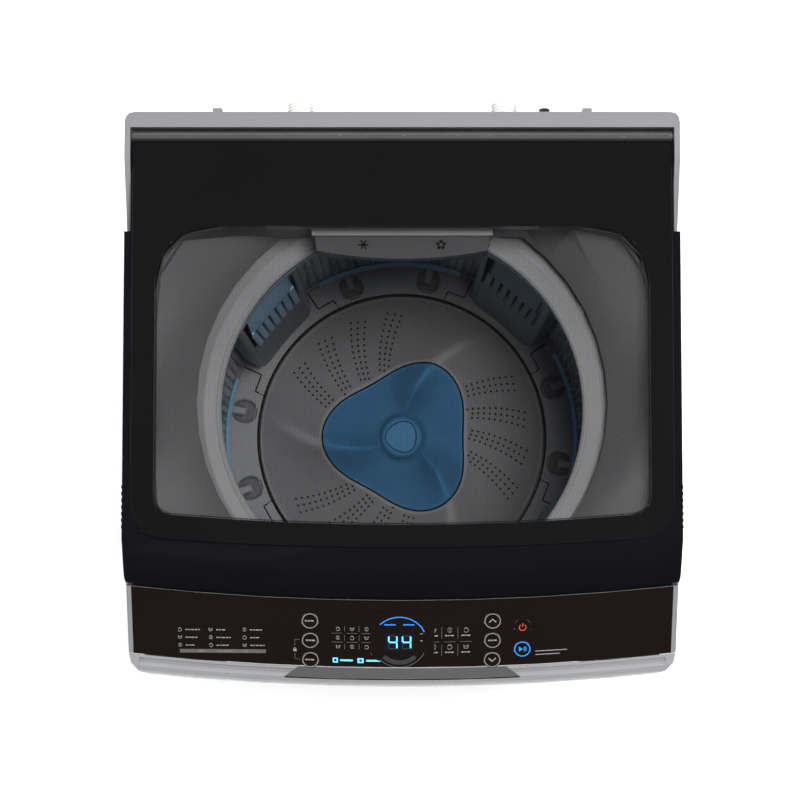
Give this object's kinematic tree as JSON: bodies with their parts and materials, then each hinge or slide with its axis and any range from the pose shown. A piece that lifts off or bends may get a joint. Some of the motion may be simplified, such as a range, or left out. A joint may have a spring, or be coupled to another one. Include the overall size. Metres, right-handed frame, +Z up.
{
  "type": "top load washing machine",
  "caption": "Free-standing top load washing machine with a hinged glass lid, a suspended tub, a spinning basket with a lobed pulsator, and a sloped control fascia.",
  "frame": {"origin": "centre of the overall box at the floor, under the feet", "axes": "+Z up, +Y to the back where the inlet nozzles are, -Y to the front with the controls, +X to the right of someone facing the front"},
  "size_m": [0.59, 0.63, 0.99],
  "materials": {
    "silver_plastic": "silver-painted ABS, satin",
    "cabinet_steel": "silver-grey powder coat, fine orange peel",
    "black_gloss": "piano-black gloss ABS",
    "fascia_gloss": "gloss brown-black fascia",
    "lid_glass": "tempered glass, black printed border",
    "grey_plastic": "light grey polypropylene",
    "dark_plastic": "dark grey polypropylene, fine texture",
    "pulsator_grey": "charcoal plastic, satin",
    "blue_plastic": "mid-blue plastic, satin",
    "white_plastic": "white nylon",
    "black_plastic": "black ribbed polypropylene",
    "steel": "zinc-plated or stainless steel",
    "cast_metal": "cast aluminium, matt",
    "rubber": "black rubber",
    "circuit_board": "green glass-epoxy board"
  },
  "bodies": {
    "cabinet": {"cabinet_shell": "cabinet_steel", "back_cover": "cabinet_steel", "base_frame": "black_plastic", "foot_front_left": "rubber", "foot_rear_left": "rubber", "foot_rear_right": "rubber", "top_cover": "silver_plastic", "rear_panel": "silver_plastic", "control_fascia": "fascia_gloss", "display_lens": "fascia_gloss", "front_trim": "silver_plastic", "control_board": "circuit_board", "dispenser_housing": "grey_plastic", "lid_switch": "white_plastic", "hot_inlet_valve": "white_plastic", "cold_inlet_valve": "white_plastic", "lead_gland": "white_plastic", "drain_outlet": "grey_plastic", "pressure_sensor": "white_plastic", "suspension_rod_front_left": "steel", "suspension_rod_front_right": "steel", "suspension_rod_rear_left": "steel", "suspension_rod_rear_right": "steel", "suspension_spring_front_left": "steel", "suspension_spring_front_right": "steel", "suspension_spring_rear_left": "steel", "suspension_spring_rear_right": "steel"},
    "levelling_foot": {"foot_front_right": "rubber"},
    "lid": {"lid_frame": "black_gloss", "lid_glass": "lid_glass", "lid_hinge_bar": "steel"},
    "drawer": {"dispenser_drawer": "grey_plastic"},
    "tub": {"outer_tub": "grey_plastic", "tub_cover": "grey_plastic", "gear_clutch": "cast_metal", "motor": "cast_metal", "drive_belt": "rubber", "drain_valve": "white_plastic", "drain_actuator": "white_plastic"},
    "basket": {"basket_wall": "steel", "basket_base": "dark_plastic", "balance_ring": "grey_plastic", "spin_hub": "cast_metal", "filter_column_left": "dark_plastic", "filter_column_right": "dark_plastic", "lint_filter_left": "blue_plastic", "lint_filter_right": "dark_plastic"},
    "pulsator": {"pulsator": "pulsator_grey", "pulsator_cap": "blue_plastic"},
    "clutch_pulley": {"clutch_pulley": "cast_metal"},
    "motor_rotor": {"motor_pulley": "cast_metal"},
    "drain_rod": {"drain_pull_rod": "steel"},
    "program_button": {"program_button": "fascia_gloss"},
    "temperature_button": {"temperature_button": "fascia_gloss"},
    "function_button": {"function_button": "fascia_gloss"},
    "up_button": {"up_button": "fascia_gloss"},
    "option_button": {"option_button": "fascia_gloss"},
    "down_button": {"down_button": "fascia_gloss"},
    "power_button": {"power_button": "fascia_gloss"},
    "start_button": {"start_button": "fascia_gloss"}
  },
  "joints": [
    {"name": "lid_hinge", "type": "hinge", "parent": "cabinet", "child": "lid", "pos_m": [0, 0.269, 0.979], "axis": [-1, 0, 0], "range_deg": [0, 95]},
    {"name": "drawer_slide", "type": "slide", "parent": "cabinet", "child": "drawer", "axis": [0, -1, 0], "range_m": [0, 0.085]},
    {"name": "foot_turn", "type": "hinge", "parent": "cabinet", "child": "levelling_foot", "pos_m": [0.245, -0.248, 0.02], "axis": [0, 0, 1], "continuous": true},
    {"name": "tub_bounce", "type": "slide", "parent": "cabinet", "child": "tub", "axis": [0, 0, 1], "range_m": [-0.03, 0.008], "stiffness_N_per_m": 9000, "springref_m": 0.03874, "deforming": ["suspension_spring_front_left", "suspension_spring_front_right", "suspension_spring_rear_left", "suspension_spring_rear_right"]},
    {"name": "basket_spin", "type": "hinge", "parent": "tub", "child": "basket", "pos_m": [0, -0.013, 0.4], "axis": [0, 0, 1], "continuous": true},
    {"name": "pulsator_spin", "type": "hinge", "parent": "basket", "child": "pulsator", "pos_m": [0, -0.013, 0.32], "axis": [0, 0, 1], "continuous": true},
    {"name": "clutch_pulley_spin", "type": "hinge", "parent": "tub", "child": "clutch_pulley", "pos_m": [0, -0.013, 0.097], "axis": [0, 0, 1], "continuous": true},
    {"name": "motor_spin", "type": "hinge", "parent": "tub", "child": "motor_rotor", "pos_m": [-0.158, -0.013, 0.097], "axis": [0, 0, 1], "continuous": true},
    {"name": "drain_rod_pull", "type": "slide", "parent": "tub", "child": "drain_rod", "axis": [0, -1, 0], "range_m": [0, 0.012], "stiffness_N_per_m": 800, "springref_m": -0.01},
    {"name": "program_press", "type": "slide", "parent": "cabinet", "child": "program_button", "axis": [0, 0.3827, -0.9239], "range_m": [0, 0.001], "stiffness_N_per_m": 600, "springref_m": -0.0012},
    {"name": "temperature_press", "type": "slide", "parent": "cabinet", "child": "temperature_button", "axis": [0, 0.3827, -0.9239], "range_m": [0, 0.001], "stiffness_N_per_m": 600, "springref_m": -0.0012},
    {"name": "function_press", "type": "slide", "parent": "cabinet", "child": "function_button", "axis": [0, 0.3827, -0.9239], "range_m": [0, 0.001], "stiffness_N_per_m": 600, "springref_m": -0.0012},
    {"name": "up_press", "type": "slide", "parent": "cabinet", "child": "up_button", "axis": [0, 0.3827, -0.9239], "range_m": [0, 0.001], "stiffness_N_per_m": 600, "springref_m": -0.0012},
    {"name": "option_press", "type": "slide", "parent": "cabinet", "child": "option_button", "axis": [0, 0.3827, -0.9239], "range_m": [0, 0.001], "stiffness_N_per_m": 600, "springref_m": -0.0012},
    {"name": "down_press", "type": "slide", "parent": "cabinet", "child": "down_button", "axis": [0, 0.3827, -0.9239], "range_m": [0, 0.001], "stiffness_N_per_m": 600, "springref_m": -0.0012},
    {"name": "power_press", "type": "slide", "parent": "cabinet", "child": "power_button", "axis": [0, 0.3827, -0.9239], "range_m": [0, 0.001], "stiffness_N_per_m": 600, "springref_m": -0.0012},
    {"name": "start_press", "type": "slide", "parent": "cabinet", "child": "start_button", "axis": [0, 0.3827, -0.9239], "range_m": [0, 0.001], "stiffness_N_per_m": 600, "springref_m": -0.0012}
  ],
  "couplings": [
    {"joint": "clutch_pulley_spin", "follows": "pulsator_spin", "ratio": 5},
    {"joint": "motor_spin", "follows": "pulsator_spin", "ratio": 18.182}
  ]
}
